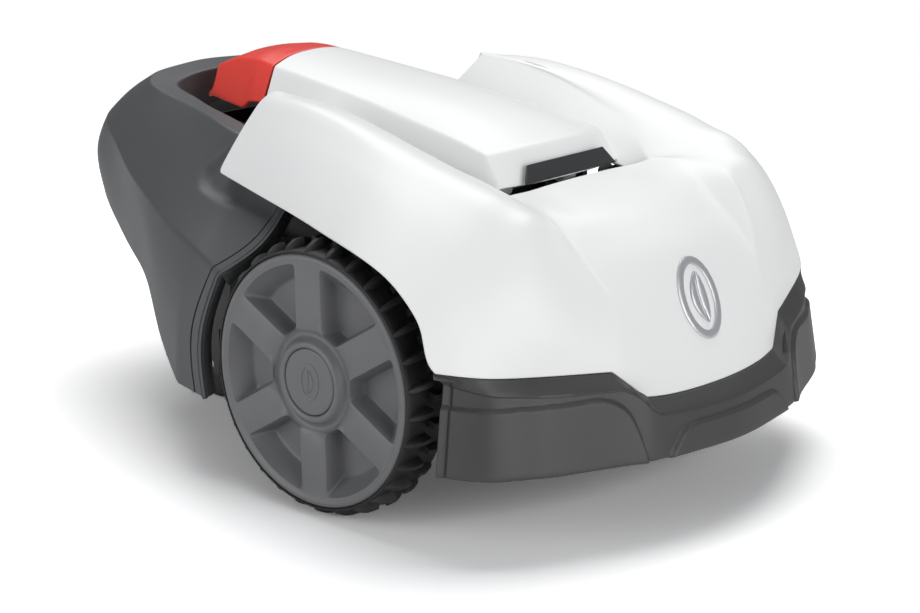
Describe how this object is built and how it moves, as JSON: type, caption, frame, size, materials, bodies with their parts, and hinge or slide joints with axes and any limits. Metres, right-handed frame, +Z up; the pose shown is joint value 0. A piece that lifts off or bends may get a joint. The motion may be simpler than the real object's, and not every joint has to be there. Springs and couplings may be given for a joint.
{
  "type": "robotic lawn mower",
  "caption": "Robotic lawn mower with a floating shell, stop button, hinged control hatch, spinning blade disc, two drive wheels and two castors.",
  "frame": {"origin": "centre of the bounding box at ground level", "axes": "+X towards the badge nose, +Y to the left side, +Z up"},
  "size_m": [0.55, 0.38, 0.2501],
  "materials": {
    "white_shell": "smooth satin white",
    "dark_shell": "fine matte grain",
    "bumper_rubber": "soft matte",
    "rim_grey": "satin",
    "tread_black": "matte rubber",
    "stop_red": "satin",
    "insert_grey": "satin",
    "badge_silver": "brushed",
    "chassis_black": "fine grain",
    "steel": "machined",
    "blade_steel": "ground",
    "seal_rubber": "soft",
    "circuit_green": "solder mask",
    "battery_blue": "shrink sleeve",
    "contact_brass": "plated",
    "display_glass": "clear window",
    "key_rubber": "silicone",
    "disc_orange": "moulded"
  },
  "bodies": {
    "chassis": {"chassis_tray": "chassis_black", "chassis_seal": "seal_rubber", "chassis_lid": "chassis_black", "chassis_screws": "steel", "battery_pack": "battery_blue", "main_board": "circuit_green", "board_spacers": "chassis_black", "loop_sensors": "circuit_green", "charge_contacts": "contact_brass", "main_switch_housing": "chassis_black", "gearbox_left": "steel", "gearbox_right": "steel", "float_posts": "seal_rubber", "console": "chassis_black", "display_module": "insert_grey", "display_window": "display_glass", "keypad_panel": "rim_grey", "hatch_hinge_pin": "steel", "stop_switch": "insert_grey", "stop_spring": "steel"},
    "shell": {"hood": "white_shell", "tail_shell": "dark_shell", "nose_bumper": "bumper_rubber", "emblem": "badge_silver", "float_sockets": "chassis_black"},
    "hatch": {"hatch": "white_shell", "hatch_insert": "insert_grey"},
    "hatch_latch": {"hatch_latch": "insert_grey"},
    "stop_button": {"stop_button": "stop_red"},
    "height_setting": {"height_knob": "insert_grey", "height_spindle": "steel"},
    "cutter_carriage": {"cutter_carriage": "chassis_black", "cutter_motor": "steel"},
    "cutter_disc": {"blade_disc": "disc_orange", "cutter_shaft": "steel", "blade_screws": "steel"},
    "skid_plate": {"skid_plate": "chassis_black"},
    "main_switch": {"main_switch": "insert_grey"},
    "blade_1": {"blade_1": "blade_steel"},
    "blade_2": {"blade_2": "blade_steel"},
    "blade_3": {"blade_3": "blade_steel"},
    "key_back": {"key_back": "key_rubber"},
    "key_ok": {"key_ok": "key_rubber"},
    "key_up": {"key_up": "key_rubber"},
    "key_start": {"key_start": "key_rubber"},
    "key_home": {"key_home": "key_rubber"},
    "drive_wheel_left": {"tyre_left": "tread_black", "rim_left": "rim_grey", "hub_cap_left": "rim_grey", "wheel_shaft_left": "steel"},
    "castor_swivel_left": {"castor_fork_left": "chassis_black", "castor_axle_left": "steel"},
    "castor_roll_left": {"castor_wheel_left": "tread_black"},
    "drive_wheel_right": {"tyre_right": "tread_black", "rim_right": "rim_grey", "hub_cap_right": "rim_grey", "wheel_shaft_right": "steel"},
    "castor_swivel_right": {"castor_fork_right": "chassis_black", "castor_axle_right": "steel"},
    "castor_roll_right": {"castor_wheel_right": "tread_black"}
  },
  "joints": [
    {"name": "shell_float", "type": "slide", "parent": "chassis", "child": "shell", "axis": [1, 0, 0], "range_m": [-0.003, 0.003], "stiffness_N_per_m": 2500},
    {"name": "hatch_hinge", "type": "hinge", "parent": "chassis", "child": "hatch", "pos_m": [0.098, 0, 0.188], "axis": [0, 1, 0], "range_deg": [0, 60]},
    {"name": "stop_press", "type": "slide", "parent": "chassis", "child": "stop_button", "axis": [0, 0, -1], "range_m": [0, 0.004], "stiffness_N_per_m": 1200, "springref_m": -0.003, "deforming": ["stop_spring"]},
    {"name": "latch_slide", "type": "slide", "parent": "chassis", "child": "hatch_latch", "axis": [-1, 0, 0], "range_m": [0, 0.003]},
    {"name": "height_lift", "type": "slide", "parent": "chassis", "child": "cutter_carriage", "axis": [0, 0, 1], "range_m": [-0.01, 0.02]},
    {"name": "height_turn", "type": "hinge", "parent": "chassis", "child": "height_setting", "pos_m": [-0.062, 0, 0.18], "axis": [0, 0, 1], "range_deg": [-90.5, 180.5]},
    {"name": "cutter_spin", "type": "hinge", "parent": "cutter_carriage", "child": "cutter_disc", "pos_m": [-0.002, 0, 0.032], "axis": [0, 0, 1], "continuous": true},
    {"name": "skid_spin", "type": "hinge", "parent": "cutter_disc", "child": "skid_plate", "pos_m": [-0.002, 0, 0.024], "axis": [0, 0, 1], "continuous": true},
    {"name": "blade_1_pivot", "type": "hinge", "parent": "cutter_disc", "child": "blade_1", "pos_m": [0.04303, 0.026, 0.029], "axis": [0, 0, 1], "continuous": true},
    {"name": "blade_2_pivot", "type": "hinge", "parent": "cutter_disc", "child": "blade_2", "pos_m": [-0.04703, 0.026, 0.029], "axis": [0, 0, 1], "continuous": true},
    {"name": "blade_3_pivot", "type": "hinge", "parent": "cutter_disc", "child": "blade_3", "pos_m": [-0.002, -0.052, 0.029], "axis": [0, 0, 1], "continuous": true},
    {"name": "key_back_press", "type": "slide", "parent": "chassis", "child": "key_back", "axis": [0, 0, -1], "range_m": [0, 0.0008], "stiffness_N_per_m": 400, "springref_m": -0.0005},
    {"name": "key_ok_press", "type": "slide", "parent": "chassis", "child": "key_ok", "axis": [0, 0, -1], "range_m": [0, 0.0008], "stiffness_N_per_m": 400, "springref_m": -0.0005},
    {"name": "key_up_press", "type": "slide", "parent": "chassis", "child": "key_up", "axis": [0, 0, -1], "range_m": [0, 0.0008], "stiffness_N_per_m": 400, "springref_m": -0.0005},
    {"name": "key_start_press", "type": "slide", "parent": "chassis", "child": "key_start", "axis": [0, 0, -1], "range_m": [0, 0.0008], "stiffness_N_per_m": 400, "springref_m": -0.0005},
    {"name": "key_home_press", "type": "slide", "parent": "chassis", "child": "key_home", "axis": [0, 0, -1], "range_m": [0, 0.0008], "stiffness_N_per_m": 400, "springref_m": -0.0005},
    {"name": "main_switch_tilt", "type": "hinge", "parent": "chassis", "child": "main_switch", "pos_m": [0.1, 0, 0.0685], "axis": [0, 1, 0], "range_deg": [0, 12]},
    {"name": "drive_left", "type": "hinge", "parent": "chassis", "child": "drive_wheel_left", "pos_m": [0.0785, 0.1887, 0.0886], "axis": [0, 1, 0], "continuous": true},
    {"name": "castor_left_swivel", "type": "hinge", "parent": "chassis", "child": "castor_swivel_left", "pos_m": [-0.118, 0.062, 0.07], "axis": [0, 0, 1], "continuous": true},
    {"name": "castor_left_roll", "type": "hinge", "parent": "castor_swivel_left", "child": "castor_roll_left", "pos_m": [-0.136, 0.062, 0.026], "axis": [0, 1, 0], "continuous": true},
    {"name": "drive_right", "type": "hinge", "parent": "chassis", "child": "drive_wheel_right", "pos_m": [0.0785, -0.1887, 0.0886], "axis": [0, 1, 0], "continuous": true},
    {"name": "castor_right_swivel", "type": "hinge", "parent": "chassis", "child": "castor_swivel_right", "pos_m": [-0.118, -0.062, 0.07], "axis": [0, 0, 1], "continuous": true},
    {"name": "castor_right_roll", "type": "hinge", "parent": "castor_swivel_right", "child": "castor_roll_right", "pos_m": [-0.136, -0.062, 0.026], "axis": [0, 1, 0], "continuous": true}
  ],
  "couplings": [
    {"joint": "latch_slide", "follows": "stop_press", "ratio": 0.75},
    {"joint": "height_turn", "follows": "height_lift", "rad_per_m": 157}
  ]
}
